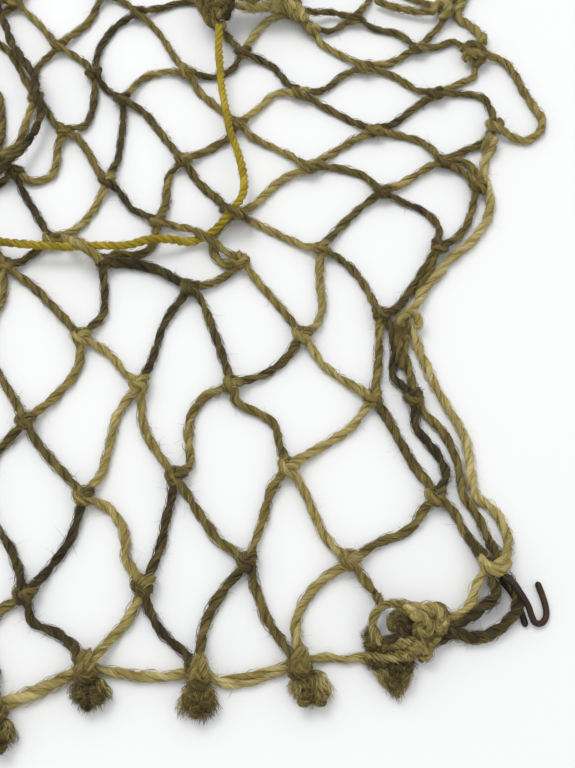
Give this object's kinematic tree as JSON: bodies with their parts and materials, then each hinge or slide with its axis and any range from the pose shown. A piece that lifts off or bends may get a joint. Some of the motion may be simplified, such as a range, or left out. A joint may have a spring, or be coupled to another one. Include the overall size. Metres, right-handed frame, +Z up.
{
  "type": "knotted net",
  "caption": "Hand-knotted diamond-mesh net of jute twine on a foot rope with frayed knot tails, a corner eye with an iron hook, and a loose draw cord.",
  "frame": {"origin": "on the table, under the middle of the net's box, without the loose draw cord", "axes": "+X towards the corner with the hook, +Y from the foot rope to the head rope, +Z up"},
  "size_m": [0.3894, 0.4898, 0.0262],
  "materials": {
    "jute_dark": "coarse",
    "jute_olive": "coarse",
    "jute_pale": "coarse",
    "cord_mustard": "coarse",
    "iron_rusty": "rusty"
  },
  "bodies": {
    "net": {"net_row_01": "jute_olive", "net_row_02": "jute_dark", "net_row_03": "jute_olive", "net_row_04": "jute_olive", "net_row_05": "jute_olive", "net_row_06": "jute_dark", "net_row_07": "jute_pale", "net_row_08": "jute_olive", "net_row_09": "jute_dark", "net_row_10": "jute_olive", "net_row_11": "jute_olive", "net_row_12": "jute_pale", "net_row_13": "jute_dark", "foot_rope": "jute_pale", "head_rope": "jute_pale", "side_line_left": "jute_pale", "side_line_right": "jute_pale", "side_line_upper": "jute_pale", "corner_knot_right": "jute_pale", "corner_knot_left": "jute_pale", "head_knot_left": "jute_pale", "head_knot_right": "jute_pale", "gathered_hank": "jute_pale", "folded_bight": "jute_dark", "eye_loop": "jute_dark", "gather_knot": "jute_dark", "draw_cord": "cord_mustard", "draw_cord_hitch": "cord_mustard"},
    "hook": {"iron_hook": "iron_rusty"},
    "loop": {"side_loop": "jute_pale"},
    "tail_1": {"frayed_tail_1": "jute_olive"},
    "tail_2": {"frayed_tail_2": "jute_olive"},
    "tail_3": {"frayed_tail_3": "jute_olive"},
    "tail_4": {"frayed_tail_4": "jute_olive"},
    "tail_5": {"frayed_tail_5": "jute_olive"},
    "tail_corner": {"frayed_tail_corner": "jute_pale"}
  },
  "joints": [
    {"name": "hook_swing", "type": "hinge", "parent": "net", "child": "hook", "pos_m": [0.14884, -0.16533, 0.0053], "axis": [0.2588, -0.9659, 0], "range_deg": [0, 30]},
    {"name": "side_loop_lift", "type": "hinge", "parent": "net", "child": "loop", "pos_m": [0.16784, 0.13817, 0.004], "axis": [0.1164, -0.9932, 0], "range_deg": [0, 85]},
    {"name": "tail_1_lift", "type": "hinge", "parent": "net", "child": "tail_1", "pos_m": [-0.10516, -0.22993, 0.006], "axis": [-1, 0, 0], "range_deg": [0, 85]},
    {"name": "tail_2_lift", "type": "hinge", "parent": "net", "child": "tail_2", "pos_m": [-0.06216, -0.22193, 0.006], "axis": [-1, 0, 0], "range_deg": [0, 85]},
    {"name": "tail_3_lift", "type": "hinge", "parent": "net", "child": "tail_3", "pos_m": [-0.02716, -0.20593, 0.006], "axis": [-1, 0, 0], "range_deg": [0, 85]},
    {"name": "tail_4_lift", "type": "hinge", "parent": "net", "child": "tail_4", "pos_m": [0.01884, -0.20793, 0.006], "axis": [-1, 0, 0], "range_deg": [0, 85]},
    {"name": "tail_5_lift", "type": "hinge", "parent": "net", "child": "tail_5", "pos_m": [0.05984, -0.20393, 0.006], "axis": [-1, 0, 0], "range_deg": [0, 85]},
    {"name": "tail_corner_lift", "type": "hinge", "parent": "net", "child": "tail_corner", "pos_m": [0.09934, -0.19963, 0.006], "axis": [-1, 0, 0], "range_deg": [0, 85]}
  ]
}
